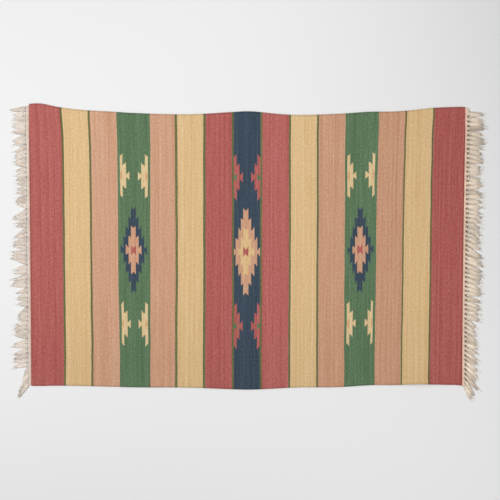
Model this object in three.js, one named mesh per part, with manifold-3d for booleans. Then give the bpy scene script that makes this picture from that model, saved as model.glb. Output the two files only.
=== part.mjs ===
// A kilim rug, woven in one piece and laid flat, with the ends of its warp knotted into a fringe.
//
// Millimetres, +Z up. X runs along the warp, from fringe to fringe, and Y across the rug. Every piece is
// drawn about the middle of the weave, and the finished group is shifted so that the origin lies under the
// middle of the whole rug, on the surface that carries it.

import * as THREE from 'three';
import { mergeVertices } from 'three/addons/utils/BufferGeometryUtils.js';
import Module from 'manifold-3d';

const wasm = await Module();
wasm.setup();

// Driving dimensions.
const THICKNESS = 4; // of the cloth, and of the knots and tassels
const HALF_WIDTH = 446; // from the weave's middle line to the long edges, where they neither rise nor dip
const SEAM_GAP = 0.3; // between the last weft and the heading of each fringe
const HEADING_WIDTH = 4; // bare warp between the last weft and the knots
const TASSELS_PER_END = 60;
const TASSEL_ROOT = 1.5; // how deep a tassel's root sits in the heading
const STEPS_PER_ROW = 3; // straight pieces that a curve has for each row of its table
const STEPS_PER_END = 12; // straight pieces along each short end

// The long edges: how far the cloth reaches to each side of the weave's middle line. They wave a little, and
// rise into the two top corners.
const LONG_EDGES = [
  { x: -697, top: 475, bottom: 440 },
  { x: -664, top: 475, bottom: 440 },
  { x: -612, top: 464, bottom: 439 },
  { x: -535, top: 454.5, bottom: 440 },
  { x: -431, top: 448.6, bottom: 442.5 },
  { x: -353, top: 444, bottom: 444.5 },
  { x: -197, top: 440, bottom: 445 },
  { x: -68, top: 446.5, bottom: 450 },
  { x: 10, top: 450.3, bottom: 452 },
  { x: 88, top: 442.7, bottom: 448.5 },
  { x: 166, top: 438.2, bottom: 444.7 },
  { x: 295, top: 441.8, bottom: 444 },
  { x: 399, top: 448.7, bottom: 437.5 },
  { x: 477, top: 449, bottom: 437.5 },
  { x: 555, top: 455.6, bottom: 433.8 },
  { x: 607, top: 461.5, bottom: 435.6 },
  { x: 697, top: 464.5, bottom: 437.5 },
];

// How the tassels lie at heights along each end, from the bottom up. They lean towards the bottom edge by so
// many degrees, and reach is their length past the heading.
const LEFT_LAY = [
  { y: -433, lean: 45, reach: 50 },
  { y: -400, lean: 58, reach: 74 },
  { y: -370, lean: 24, reach: 52 },
  { y: -300, lean: 8, reach: 48 },
  { y: -230, lean: 6, reach: 42 },
  { y: -190, lean: 36, reach: 46 },
  { y: -140, lean: 30, reach: 52 },
  { y: -105, lean: 8, reach: 46 },
  { y: -30, lean: 2, reach: 50 },
  { y: 50, lean: 16, reach: 49 },
  { y: 80, lean: 0, reach: 40 },
  { y: 115, lean: 22, reach: 46 },
  { y: 145, lean: -4, reach: 38 },
  { y: 210, lean: 3, reach: 40 },
  { y: 280, lean: 13, reach: 41 },
  { y: 320, lean: 6, reach: 42 },
  { y: 357, lean: 18, reach: 50 },
  { y: 390, lean: 8, reach: 50 },
  { y: 436, lean: 0, reach: 44 },
  { y: 457, lean: 5, reach: 57 },
];
const RIGHT_LAY = [
  { y: -436, lean: 72, reach: 62 },
  { y: -421, lean: 60, reach: 64 },
  { y: -406, lean: 36, reach: 56 },
  { y: -370, lean: 37, reach: 52 },
  { y: -310, lean: 30, reach: 47 },
  { y: -260, lean: 37, reach: 45 },
  { y: -200, lean: 17, reach: 49 },
  { y: -110, lean: 14, reach: 49 },
  { y: -60, lean: 27, reach: 56 },
  { y: 20, lean: 25, reach: 52 },
  { y: 100, lean: 10, reach: 49 },
  { y: 210, lean: 1, reach: 50 },
  { y: 290, lean: 14, reach: 50 },
  { y: 350, lean: 3, reach: 53 },
  { y: 440, lean: 2, reach: 57 },
];

// The short ends. side is the way out from the middle, and reach is how far the last weft lies from the
// middle at the bottom edge, halfway and at the top edge. The fringe runs from its lowest point to its highest.
const ENDS = {
  left: {
    side: -1,
    reach: { bottom: 699, middle: 702.7, top: 707.5 },
    lowest: -438,
    highest: 465,
    lay: LEFT_LAY,
  },
  right: {
    side: 1,
    reach: { bottom: 697.6, middle: 701.4, top: 709 },
    lowest: -443,
    highest: 447,
    lay: RIGHT_LAY,
  },
};
const CORNER_TURN = 10; // how far above the right fringe the cloth starts to turn its corner

// One tassel from its root to its tip: where each section lies along the reach, its half width, and how much
// of the lean the yarns have taken up there.
const TASSEL_SECTIONS = [
  { along: 0, half: 4.4, turned: 0 },
  { along: 0.14, half: 5, turned: 0.4 },
  { along: 0.28, half: 4.2, turned: 0.9 },
  { along: 0.65, half: 5, turned: 1 },
  { along: 1, half: 2.4, turned: 1 },
];

const weave = new THREE.MeshStandardMaterial({ color: 0xb4655e, roughness: 0.95, metalness: 0 });
const bareWarp = new THREE.MeshStandardMaterial({ color: 0xdfd0b8, roughness: 0.9, metalness: 0 });

// A flat piece of the rug's thickness, resting on the surface, from its outline in plan.
function slab(outline) {
  const options = { depth: THICKNESS, bevelEnabled: false, curveSegments: STEPS_PER_ROW };
  return new THREE.ExtrudeGeometry(outline, options);
}

// A closed mesh as a solid that can be joined to another.
function solidOf(geometry) {
  const bare = geometry.clone();
  bare.deleteAttribute('normal');
  bare.deleteAttribute('uv');
  const merged = mergeVertices(bare);
  const vertProperties = new Float32Array(merged.attributes.position.array);
  const triVerts = new Uint32Array(merged.index.array);
  return new wasm.Manifold(new wasm.Mesh({ numProp: 3, vertProperties, triVerts }));
}

// The surface of a solid, as a geometry.
function geometryOf(solid) {
  const { vertProperties, triVerts } = solid.getMesh();
  const geometry = new THREE.BufferGeometry();
  geometry.setAttribute('position', new THREE.BufferAttribute(vertProperties, 3));
  geometry.setIndex(new THREE.BufferAttribute(triVerts, 1));
  geometry.computeVertexNormals();
  return geometry;
}

// A point of one short end at height y, moved out from the last weft by some distance.
function endPoint(end, y, out) {
  const height = y / HALF_WIDTH;
  const slope = (end.reach.top - end.reach.bottom) / 2;
  const bow = (end.reach.top + end.reach.bottom) / 2 - end.reach.middle;
  const reach = end.reach.middle + slope * height + bow * height * height;
  return new THREE.Vector2(end.side * (reach + out), y);
}

// Points of one short end from one height to another.
function endLine(end, from, to, out) {
  const steps = Array.from({ length: STEPS_PER_END + 1 }, (_, i) => i / STEPS_PER_END);
  return steps.map((step) => endPoint(end, THREE.MathUtils.lerp(from, to, step), out));
}

// The woven cloth: its four sides one after another, with a rounded corner between each two.
function makeCloth() {
  const bottom = LONG_EDGES.map((row) => new THREE.Vector2(row.x, -row.bottom));
  const top = LONG_EDGES.map((row) => new THREE.Vector2(row.x, row.top)).reverse();
  const right = endLine(ENDS.right, ENDS.right.lowest, ENDS.right.highest + CORNER_TURN, 0);
  const left = endLine(ENDS.left, ENDS.left.highest, ENDS.left.lowest, 0);
  const outline = new THREE.Shape();
  outline.moveTo(bottom[0].x, bottom[0].y);
  outline.splineThru(bottom.slice(1));
  outline.quadraticCurveTo(right[0].x, bottom.at(-1).y, right[0].x, right[0].y);
  right.slice(1).forEach((point) => outline.lineTo(point.x, point.y));
  outline.quadraticCurveTo(right.at(-1).x, top[0].y, top[0].x, top[0].y);
  outline.splineThru(top.slice(1));
  outline.quadraticCurveTo(left[0].x, top.at(-1).y, left[0].x, left[0].y);
  left.slice(1).forEach((point) => outline.lineTo(point.x, point.y));
  outline.quadraticCurveTo(left.at(-1).x, bottom[0].y, bottom[0].x, bottom[0].y);
  return slab(outline);
}

// One knotted tassel, leaning from its root in the heading.
function makeTassel(root, side, lean, reach) {
  const near = [];
  const far = [];
  const middle = root.clone();
  TASSEL_SECTIONS.forEach((section, i) => {
    const before = TASSEL_SECTIONS[Math.max(i - 1, 0)];
    const angle = lean * section.turned;
    const forward = new THREE.Vector2(side * Math.cos(angle), -Math.sin(angle));
    const across = new THREE.Vector2(-forward.y, forward.x);
    middle.addScaledVector(forward, (section.along - before.along) * reach);
    near.push(middle.clone().addScaledVector(across, section.half));
    far.unshift(middle.clone().addScaledVector(across, -section.half));
  });
  return slab(new THREE.Shape([...near, ...far]));
}

// The comb along one end: the heading of bare warp, with every tassel joined to it.
function makeFringe(end) {
  const inner = endLine(end, end.lowest, end.highest, SEAM_GAP);
  const outer = endLine(end, end.highest, end.lowest, SEAM_GAP + HEADING_WIDTH);
  const heights = end.lay.map((row) => row.y);
  const settings = end.lay.flatMap((row) => [THREE.MathUtils.degToRad(row.lean), row.reach]);
  const lay = new THREE.LinearInterpolant(heights, settings, 2);
  const pitch = (end.highest - end.lowest) / TASSELS_PER_END;
  let comb = solidOf(slab(new THREE.Shape([...inner, ...outer])));
  for (let i = 0; i < TASSELS_PER_END; i += 1) {
    const y = end.lowest + (i + 0.5) * pitch;
    const root = endPoint(end, y, SEAM_GAP + HEADING_WIDTH - TASSEL_ROOT);
    const [lean, reach] = lay.evaluate(y);
    comb = comb.add(solidOf(makeTassel(root, end.side, lean, reach + TASSEL_ROOT)));
  }
  return geometryOf(comb);
}

function named(name, geometry, material) {
  const mesh = new THREE.Mesh(geometry, material);
  mesh.name = name;
  return mesh;
}

const rug = new THREE.Group();
rug.add(named('woven_cloth', makeCloth(), weave));
rug.add(named('fringe_left', makeFringe(ENDS.left), bareWarp));
rug.add(named('fringe_right', makeFringe(ENDS.right), bareWarp));

const middle = new THREE.Box3().setFromObject(rug).getCenter(new THREE.Vector3());
rug.position.set(-middle.x, -middle.y, 0);

export default rug;
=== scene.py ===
"""The looks of a kilim rug: a weft-faced cloth with stripes and stepped medallions, and two knotted fringes.

The rug lies flat, with X along the warp and Y across it. Lengths in this file are millimetres unless a name
says otherwise, and they turn into metres where a mesh, a light or the camera is made.
"""

import logging
import math
from dataclasses import dataclass, field
from enum import Enum
from typing import Any

import bpy
import numpy as np
from bpy.types import ID, Material, Mesh, Node, NodeSocket, NodeTree, Object
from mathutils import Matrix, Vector


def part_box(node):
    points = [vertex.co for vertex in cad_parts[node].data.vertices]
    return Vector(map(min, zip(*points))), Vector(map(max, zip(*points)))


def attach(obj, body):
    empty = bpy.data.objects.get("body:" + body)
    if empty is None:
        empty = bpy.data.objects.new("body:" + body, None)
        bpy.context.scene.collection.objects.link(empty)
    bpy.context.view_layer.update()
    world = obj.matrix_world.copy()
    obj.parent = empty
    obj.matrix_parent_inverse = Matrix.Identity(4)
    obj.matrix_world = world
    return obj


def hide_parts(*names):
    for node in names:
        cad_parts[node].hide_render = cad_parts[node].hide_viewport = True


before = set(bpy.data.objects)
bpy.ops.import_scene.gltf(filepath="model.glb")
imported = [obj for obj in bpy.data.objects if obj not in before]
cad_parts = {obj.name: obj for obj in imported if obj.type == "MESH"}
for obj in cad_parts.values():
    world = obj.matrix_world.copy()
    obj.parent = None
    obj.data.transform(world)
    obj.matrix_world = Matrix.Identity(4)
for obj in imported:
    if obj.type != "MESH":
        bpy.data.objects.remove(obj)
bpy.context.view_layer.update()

MM = 0.001  # metres in a millimetre
SEED = 7321

log = logging.getLogger("kilim_rug")


# ---- Colours and nodes ----


class Dye(Enum):
    """The yarns' colours, as sRGB hex values."""

    MADDER_RED = "#AB5C56"
    WELD_YELLOW = "#D5B484"
    PALE_YELLOW = "#D6BB8E"
    PEACH = "#C59679"
    LEAF_GREEN = "#597354"
    OLIVE_GREEN = "#666944"
    INDIGO = "#384654"
    TAN = "#CDA478"
    UNDYED_COTTON = "#E8DDD2"
    AGED_COTTON = "#F6E7D5"
    BLED_COTTON = "#EFC8B4"
    # A brown for the dust on the fringe, and for the painted shade in the gaps between its knots and tassels.
    DUST_AND_SHADE_BROWN = "#95754E"


def linear(colour: str) -> tuple[float, float, float, float]:
    """Turns an sRGB hex colour into linear red, green and blue by the standard's curve, and a full alpha."""
    shares = [int(colour[i : i + 2], 16) / 255 for i in (1, 3, 5)]
    lit = [c / 12.92 if c <= 0.04045 else ((c + 0.055) / 1.055) ** 2.4 for c in shares]
    return (*lit, 1.0)


def add(tree: NodeTree, kind: str, feeds: dict | None = None, **settings: Any) -> Node:
    """Adds one node with its settings and links.

    Args:
        tree: The node tree that the node joins.
        kind: The node's type, without the "ShaderNode" in front.
        feeds: What goes into its inputs, by name or number. It is a socket, a value, or a node, which stands
            for its first output in use.
        settings: The node's own properties.

    Returns:
        The new node.
    """
    made = tree.nodes.new("ShaderNode" + kind)
    for name, value in settings.items():
        setattr(made, name, value)
    for key, feed in (feeds or {}).items():
        if isinstance(feed, Node):
            feed = next(out for out in feed.outputs if out.enabled)
        if isinstance(feed, NodeSocket):
            tree.links.new(feed, made.inputs[key])
        else:
            made.inputs[key].default_value = feed
    return made


def new_material(name: str, surface: dict) -> tuple[Material, NodeTree, Node]:
    """Makes a material with nothing but its shader.

    Args:
        name: The material's name.
        surface: The values of the shader's own sockets, by name.

    Returns:
        The material, its node tree and its Principled shader.
    """
    material = bpy.data.materials.new(name)
    material.use_nodes = True
    tree = material.node_tree
    tree.nodes.clear()
    shader = add(tree, "BsdfPrincipled", surface)
    add(tree, "OutputMaterial", {"Surface": shader})
    return material, tree, shader


def dry_fibre(roughness: float, sheen: float) -> dict[str, float]:
    """Gives the shader's values for yarn, which is dull and has a soft sheen of loose fibres."""
    return {
        "Roughness": roughness,
        "Sheen Weight": sheen,
        "Sheen Roughness": 0.5,
        "Specular IOR Level": 0.25,
    }


def fill_ramp(ramp: bpy.types.ColorRamp, stops: list[tuple[float, tuple]]) -> None:
    """Gives a colour ramp flat zones, each from its stop up to the next one.

    Args:
        ramp: The ramp of a new ColorRamp node.
        stops: Where each zone starts, from 0 to 1, and its colour.
    """
    ramp.interpolation = "CONSTANT"
    ramp.elements.remove(ramp.elements[1])
    ramp.elements[0].position = stops[0][0]
    ramp.elements[0].color = stops[0][1]
    for place, colour in stops[1:]:
        ramp.elements.new(place).color = colour


# ---- Finishes ----


@dataclass(frozen=True)
class Stripe:
    """One stripe of the rug, with its right-hand edge as a place along the warp."""

    edge: float
    dye: Dye
    pale: float = 0.0  # how much less dye its lot of yarn took, as a share
    line: float = 0.0  # width of the fine olive line woven over that edge

    def colour(self) -> tuple[float, float, float, float]:
        """Gives the linear colour of the stripe's lot of yarn."""
        return (*((1 + self.pale / 2) * c ** (1 - self.pale) for c in linear(self.dye.value)[:3]), 1.0)


@dataclass(frozen=True)
class SteppedDiamond:
    """A diamond of woven steps, each one slanted, so that its outline has horns.

    It is drawn by one number that grows from the middle. That number is the way up from the middle, plus a
    rise for every step to the side, less a slant within each step.
    """

    x: float
    y: float
    middle: float  # half the width of the middle column
    step_left: float
    step_right: float
    rise: float
    slant: float
    zones: tuple[tuple[float, Dye], ...]  # the limit of each zone from the middle out, with its dye


@dataclass(frozen=True)
class HalfDiamonds:
    """Half diamonds that grow inwards from both edges of a stripe, above and below the middle of the rug."""

    stripe_middle: float
    start: float  # from the stripe's middle line to where the first column of each half begins
    cuts: tuple[float, float]  # how much of that column is missing at the stripe's left and right edge
    step: float
    row: float  # how far both rows lie from their common middle
    row_middle: float
    rise: float
    slant: float
    zones: tuple[tuple[float, Dye], ...]


@dataclass(frozen=True)
class WeftFacedWeave:
    """Handspun wool and cotton, beaten down until the weft hides the warp.

    The eye gets a matt cloth with fine ribs along the warp, and streaks across it where one dye lot or one
    thick pick follows another.
    """

    warp_pitch: float = 3.74
    weft_pitch: float = 1.3
    half_length: float = 702.0
    half_width: float = 446.0
    stripes: tuple[Stripe, ...] = (
        Stripe(-594.0, Dye.MADDER_RED, 0.006, 7.0),
        Stripe(-505.7, Dye.WELD_YELLOW, 0.004, 7.0),
        Stripe(-417.5, Dye.PEACH, 0.03),
        Stripe(-314.5, Dye.LEAF_GREEN),
        Stripe(-228.6, Dye.PEACH, 0.016, 7.5),
        Stripe(-138.6, Dye.WELD_YELLOW, -0.003, 7.5),
        Stripe(-46.0, Dye.MADDER_RED, -0.01, 6.5),
        Stripe(46.0, Dye.INDIGO, 0.0, 6.5),
        Stripe(139.2, Dye.MADDER_RED, 0.042, 6.0),
        Stripe(228.8, Dye.WELD_YELLOW, 0.01, 7.2),
        Stripe(317.0, Dye.PEACH, -0.012),
        Stripe(419.0, Dye.LEAF_GREEN, 0.008),
        Stripe(506.3, Dye.PEACH, -0.032, 6.4),
        Stripe(596.0, Dye.WELD_YELLOW, -0.008, 6.4),
        Stripe(720.0, Dye.MADDER_RED, -0.022),
    )
    medallions: tuple[SteppedDiamond, ...] = (
        SteppedDiamond(
            -3.7, -4.0, 8.5, 8.1, 9.5, 31.5, 9.4,
            ((6.8, Dye.MADDER_RED), (68.0, Dye.WELD_YELLOW), (131.0, Dye.PEACH)),
        ),
        SteppedDiamond(
            -368.3, 0.6, 8.1, 8.3, 9.0, 31.5, 9.4,
            ((6.6, Dye.MADDER_RED), (70.0, Dye.PEACH), (131.0, Dye.INDIGO)),
        ),
        SteppedDiamond(
            366.6, -2.0, 8.3, 8.0, 8.9, 31.5, 9.4,
            ((6.6, Dye.MADDER_RED), (68.5, Dye.PEACH), (131.0, Dye.INDIGO)),
        ),
    )
    halves: tuple[HalfDiamonds, ...] = (
        HalfDiamonds(
            0.0, 43.5, (1.0, 1.0), 9.8, 239.5, -3.5, 29.0, 10.0,
            ((1.6, Dye.LEAF_GREEN), (63.5, Dye.MADDER_RED)),
        ),
        HalfDiamonds(
            -366.4, 46.6, (2.9, 2.5), 11.1, 241.5, 0.5, 29.0, 10.0,
            ((5.5, Dye.TAN), (62.0, Dye.PALE_YELLOW)),
        ),
        HalfDiamonds(
            369.4, 46.9, (2.0, 4.6), 10.8, 241.5, 0.5, 29.0, 10.0,
            ((5.5, Dye.TAN), (62.0, Dye.PALE_YELLOW)),
        ),
    )
    evenness: float = 0.045  # how much more evenly indigo dyes than the rest
    fuzz: float = 0.3  # how much the yarn's unevenness counts beside the dye's
    low_side_dimming: float = 0.065  # how much darker the cloth is at its lower long side
    dimming_until: float = -44.6  # the height across the rug where that darkening has faded out
    selvedge: float = 3.6  # how wide the denser, darker edges are
    end_shade: float = 0.25  # how much darker the last wefts are
    side_shade: float = 0.15  # how much darker the outermost warps are
    stray_scale: float = 0.012  # of the noise that moves the yarns, for bends about 80 mm long
    stray: tuple[float, float, float] = (3.4, 3.0, 0.0)  # how far it moves them, along the warp and across it
    roughness: float = 0.92
    sheen: float = 0.12
    # A weft stands about 0.35 mm over its neighbours. It is drawn three times as high, so that it shows.
    relief: float = 1.05
    relief_strength: float = 0.6
    bead: float = 0.4  # how high a bead is beside the slubs
    slub_scale: float = 0.45  # of the noise, for slubs about 2 mm long
    dive_shade: float = 0.09  # how much painted shade darkens a weft where it dives under a warp
    lift: float = 1.036  # makes up for the light that the relief swallows

    def material(self) -> Material:
        """Builds the cloth's material, and returns it."""
        surface = dry_fibre(self.roughness, self.sheen)
        material, tree, shader = new_material("weft_faced_handspun_weave", surface)
        woven = add(tree, "Attribute", attribute_name="woven").outputs["Vector"]
        x, y = self.on_the_weave(tree, woven)
        colour = self.striped(tree, x)
        colour = self.with_motifs(tree, colour, x, y)
        colour = self.lined(tree, colour, x)
        colour = self.uneven_yarn(tree, colour, woven)
        colour = self.packed_and_shaded_edges(tree, colour, x, y)
        beads = self.wefts(tree, woven)
        # Painted shade of the weave's relief, where each weft dives under a warp.
        shade = add(tree, "Math", {0: beads, 1: self.dive_shade, 2: self.lift}, operation="MULTIPLY_ADD")
        shaded = add(tree, "VectorMath", {0: colour, "Scale": shade}, operation="SCALE")
        tree.links.new(shaded.outputs[0], shader.inputs["Base Color"])
        feeds = {"Vector": woven, "Scale": self.slub_scale, "Detail": 3.0}
        slub = add(tree, "TexNoise", feeds, noise_dimensions="3D")
        height = add(tree, "Math", {0: beads, 1: self.bead, 2: slub.outputs["Fac"]}, operation="MULTIPLY_ADD")
        feeds = {"Height": height, "Strength": self.relief_strength, "Distance": self.relief * MM}
        bump = add(tree, "Bump", feeds)
        tree.links.new(bump.outputs[0], shader.inputs["Normal"])
        return material

    def on_the_weave(self, tree: NodeTree, woven: NodeSocket) -> tuple:
        """Steps the place in the cloth to whole wefts and warps, because colours change from yarn to yarn.

        Args:
            tree: The material's nodes.
            woven: The place in the cloth.

        Returns:
            The place along the warp and the place across it, each in millimetres.
        """
        feeds = {"Vector": woven, "Scale": self.stray_scale, "Detail": 2.0}
        wander = add(tree, "TexNoise", feeds, noise_dimensions="3D").outputs["Color"]
        centred = add(tree, "VectorMath", {0: wander, 1: (0.5, 0.5, 0.5)}, operation="SUBTRACT")
        moved = add(tree, "VectorMath", {0: centred, 1: self.stray}, operation="MULTIPLY")
        place = add(tree, "VectorMath", {0: woven, 1: moved}, operation="ADD")
        parts = add(tree, "SeparateXYZ", {0: place})
        row = add(tree, "Math", {0: parts.outputs["X"], 1: self.weft_pitch}, operation="DIVIDE")
        row = add(tree, "Math", {0: row}, operation="FLOOR")
        x = add(tree, "Math", {0: row, 1: self.weft_pitch}, operation="MULTIPLY")
        # A weft crosses over every second warp, and the next weft over the others.
        odd = add(tree, "Math", {0: row, 1: 1.0}, operation="PINGPONG")
        half = add(tree, "Math", {0: odd, 1: 0.5}, operation="MULTIPLY")
        feeds = {0: parts.outputs["Y"], 1: 1 / self.warp_pitch, 2: half}
        column = add(tree, "Math", feeds, operation="MULTIPLY_ADD")
        column = add(tree, "Math", {0: column}, operation="FLOOR")
        column = add(tree, "Math", {0: column, 1: half}, operation="SUBTRACT")
        feeds = {0: column, 1: self.warp_pitch, 2: self.warp_pitch / 2}
        return x, add(tree, "Math", feeds, operation="MULTIPLY_ADD")

    def striped(self, tree: NodeTree, x: Node) -> Any:
        """Lays out the stripes from left to right, each over all that lies past the one before.

        Args:
            tree: The material's nodes.
            x: The place along the warp.

        Returns:
            The colour.
        """
        colour = self.stripes[0].colour()
        for before, stripe in zip(self.stripes, self.stripes[1:]):
            past = add(tree, "Math", {0: x, 1: before.edge}, operation="GREATER_THAN")
            colour = add(tree, "Mix", {0: past, "A": colour, "B": stripe.colour()}, data_type="RGBA")
        return colour

    def lined(self, tree: NodeTree, colour: Any, x: Node) -> Any:
        """Weaves the fine olive lines over the edges of the stripes that have one, and returns the colour."""
        for stripe in self.stripes:
            if stripe.line:
                feeds = {0: x, 1: stripe.edge, 2: stripe.line / 2}
                on = add(tree, "Math", feeds, operation="COMPARE")
                olive = linear(Dye.OLIVE_GREEN.value)
                colour = add(tree, "Mix", {0: on, "A": colour, "B": olive}, data_type="RGBA")
        return colour

    def steps(self, tree: NodeTree, u: Node, v: Node, motif: SteppedDiamond | HalfDiamonds) -> Node:
        """Measures how far a place lies from the middle of a stepped diamond.

        Args:
            tree: The material's nodes.
            u: The way to the side, in steps.
            v: The way up or down, in millimetres.
            motif: The diamond, whose rise and slant are used.

        Returns:
            The node that gives the measure.
        """
        whole = add(tree, "Math", {0: u}, operation="FLOOR")
        rest = add(tree, "Math", {0: u}, operation="FRACT")
        raised = add(tree, "Math", {0: whole, 1: motif.rise, 2: v}, operation="MULTIPLY_ADD")
        return add(tree, "Math", {0: rest, 1: -motif.slant, 2: raised}, operation="MULTIPLY_ADD")

    def zoned(self, tree: NodeTree, measure: Node, zones: tuple) -> Node:
        """Colours the zones of a diamond, with nothing past the last one, and returns the ramp's node."""
        beyond = 1.25  # the ramp runs a little past the last zone
        limit = zones[-1][0] * beyond
        starts = [0.0, *(zone[0] / limit for zone in zones)]
        colours = [linear(zone[1].value) for zone in zones] + [(0.0, 0.0, 0.0, 0.0)]
        share = add(tree, "Math", {0: measure, 1: limit}, operation="DIVIDE", use_clamp=True)
        ramp = add(tree, "ValToRGB", {0: share})
        fill_ramp(ramp.color_ramp, list(zip(starts, colours)))
        return ramp

    def distance(self, tree: NodeTree, place: Node, middle: float) -> Node:
        """Measures how far a place lies from some middle, to either side of it."""
        off = add(tree, "Math", {0: place, 1: middle}, operation="SUBTRACT")
        return add(tree, "Math", {0: off}, operation="ABSOLUTE")

    def with_motifs(self, tree: NodeTree, colour: Any, x: Node, y: Node) -> Any:
        """Lays the medallions and the half medallions over the stripes.

        Args:
            tree: The material's nodes.
            colour: The colour of the stripes.
            x: The place along the warp.
            y: The place across the warp.

        Returns:
            The colour with every motif.
        """
        for motif in self.medallions:
            off = add(tree, "Math", {0: x, 1: motif.x}, operation="SUBTRACT")
            ways = []
            # Steps to either side, from 1 where the middle column ends. The one that gives more holds.
            for step in (motif.step_right, -motif.step_left):
                feeds = {0: off, 1: 1 / step, 2: 1 - motif.middle / abs(step)}
                ways.append(add(tree, "Math", feeds, operation="MULTIPLY_ADD"))
            outer = add(tree, "Math", {0: ways[0], 1: ways[1]}, operation="MAXIMUM")
            u = add(tree, "Math", {0: outer, 1: 0.0}, operation="MAXIMUM")
            v = self.distance(tree, y, motif.y)
            ramp = self.zoned(tree, self.steps(tree, u, v, motif), motif.zones)
            feeds = {0: ramp.outputs["Alpha"], "A": colour, "B": ramp.outputs["Color"]}
            colour = add(tree, "Mix", feeds, data_type="RGBA")
        for motif in self.halves:
            off = self.distance(tree, x, motif.stripe_middle)
            inward = add(tree, "Math", {0: motif.start, 1: off}, operation="SUBTRACT")
            u = add(tree, "Math", {0: inward, 1: motif.step}, operation="DIVIDE")
            v = self.distance(tree, self.distance(tree, y, motif.row_middle), motif.row)
            ramp = self.zoned(tree, self.steps(tree, u, v, motif), motif.zones)
            first = motif.stripe_middle - motif.start + motif.cuts[0]
            last = motif.stripe_middle + motif.start - motif.cuts[1]
            past = add(tree, "Math", {0: x, 1: first}, operation="GREATER_THAN")
            short = add(tree, "Math", {0: x, 1: last}, operation="LESS_THAN")
            inside = add(tree, "Math", {0: past, 1: short}, operation="MULTIPLY")
            shown = add(tree, "Math", {0: inside, 1: ramp.outputs["Alpha"]}, operation="MULTIPLY")
            feeds = {0: shown, "A": colour, "B": ramp.outputs["Color"]}
            colour = add(tree, "Mix", feeds, data_type="RGBA")
        return colour

    def uneven_yarn(self, tree: NodeTree, colour: Any, place: NodeSocket) -> Any:
        """Adds the streaks of different dye lots, the slubs, the frayed tips of the fibres and a darkening
        towards the lower long side.

        Yarn that took less dye is lighter, and paler most of all in the light that the dye swallows. A power
        of the colour does that for every dye alike.

        Args:
            tree: The material's nodes.
            colour: The dyes.
            place: The place in the cloth.

        Returns:
            The colour of the yarn.
        """
        # Each row: how far a patch runs along the warp and across it, how much it counts, and its detail.
        # A single weft is 1.3 mm; the streaks are drawn about four wefts wide, so that they show from afar.
        layers = ((6.4, 900.0, 0.28, 1.0), (6.0, 110.0, 0.2, 2.0), (5.4, 6.6, 0.42, 2.0))
        total = None
        for i, (run, width, weight, detail) in enumerate(layers):
            scale = (1 / run, 1 / width, 0.0)
            aside = (37.3 * i, 11.7 * i, 0.0)  # so that no two layers show the same patches
            scaled = add(tree, "VectorMath", {0: place, 1: scale, 2: aside}, operation="MULTIPLY_ADD")
            feeds = {"Vector": scaled, "Scale": 1.0, "Detail": detail}
            noise = add(tree, "TexNoise", feeds, noise_dimensions="2D")
            centred = add(tree, "Math", {0: noise.outputs["Fac"], 1: 0.5}, operation="SUBTRACT")
            feeds = {0: centred, 1: weight, 2: total if total else 0.0}
            total = add(tree, "Math", feeds, operation="MULTIPLY_ADD")
        power = add(tree, "Math", {0: 1.0, 1: total}, operation="SUBTRACT")
        dyed = add(tree, "Gamma", {"Color": colour, "Gamma": power})
        # Indigo, alone or under the weld of the greens, dyes more evenly. It is the dye that swallows red.
        red = add(tree, "SeparateColor", {0: colour}).outputs["Red"]
        even = add(tree, "Math", {0: -self.evenness, 1: red}, operation="DIVIDE")
        share = add(tree, "Math", {0: even, 1: self.fuzz}, operation="ADD")
        shade = add(tree, "Math", {0: total, 1: share, 2: 1.0}, operation="MULTIPLY_ADD")
        # The cloth grows darker towards the lower long side.
        height = add(tree, "SeparateXYZ", {0: place}).outputs["Y"]
        feeds = {0: height, 1: -self.half_width, 2: self.dimming_until, 3: 1 - self.low_side_dimming, 4: 1.0}
        low_side_dimming = add(tree, "MapRange", feeds, interpolation_type="SMOOTHSTEP")
        shade = add(tree, "Math", {0: shade, 1: low_side_dimming}, operation="MULTIPLY")
        lit = add(tree, "VectorMath", {0: dyed, "Scale": shade}, operation="SCALE")
        return lit.outputs[0]

    def packed_and_shaded_edges(self, tree: NodeTree, colour: Any, x: Any, y: Any) -> Any:
        """Darkens the edges, partly for the yarn that is beaten down hardest and turns back there and partly
        as painted shade of the rounded rim, and returns the colour.
        """
        ends = (x, self.half_length, self.end_shade)
        sides = (y, self.half_width, self.side_shade)
        for place, limit, depth in (ends, sides):
            off = add(tree, "Math", {0: place}, operation="ABSOLUTE")
            last = add(tree, "Math", {0: off, 1: limit - self.selvedge}, operation="GREATER_THAN")
            shade = add(tree, "Math", {0: last, 1: -depth, 2: 1.0}, operation="MULTIPLY_ADD")
            colour = add(tree, "VectorMath", {0: colour, "Scale": shade}, operation="SCALE").outputs[0]
        return colour

    def wefts(self, tree: NodeTree, woven: NodeSocket) -> Node:
        """Makes the beads, a weft wide, where each weft passes over a warp: 1 on top, -1 between them."""
        parts = add(tree, "SeparateXYZ", {0: woven})
        over = add(tree, "Math", {0: parts.outputs["Y"], 1: math.pi / self.warp_pitch}, operation="MULTIPLY")
        rib = add(tree, "Math", {0: over}, operation="SINE")
        pick = add(tree, "Math", {0: parts.outputs["X"], 1: math.pi / self.weft_pitch}, operation="MULTIPLY")
        bead = add(tree, "Math", {0: pick}, operation="COSINE")
        return add(tree, "Math", {0: rib, 1: bead}, operation="MULTIPLY")


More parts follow.
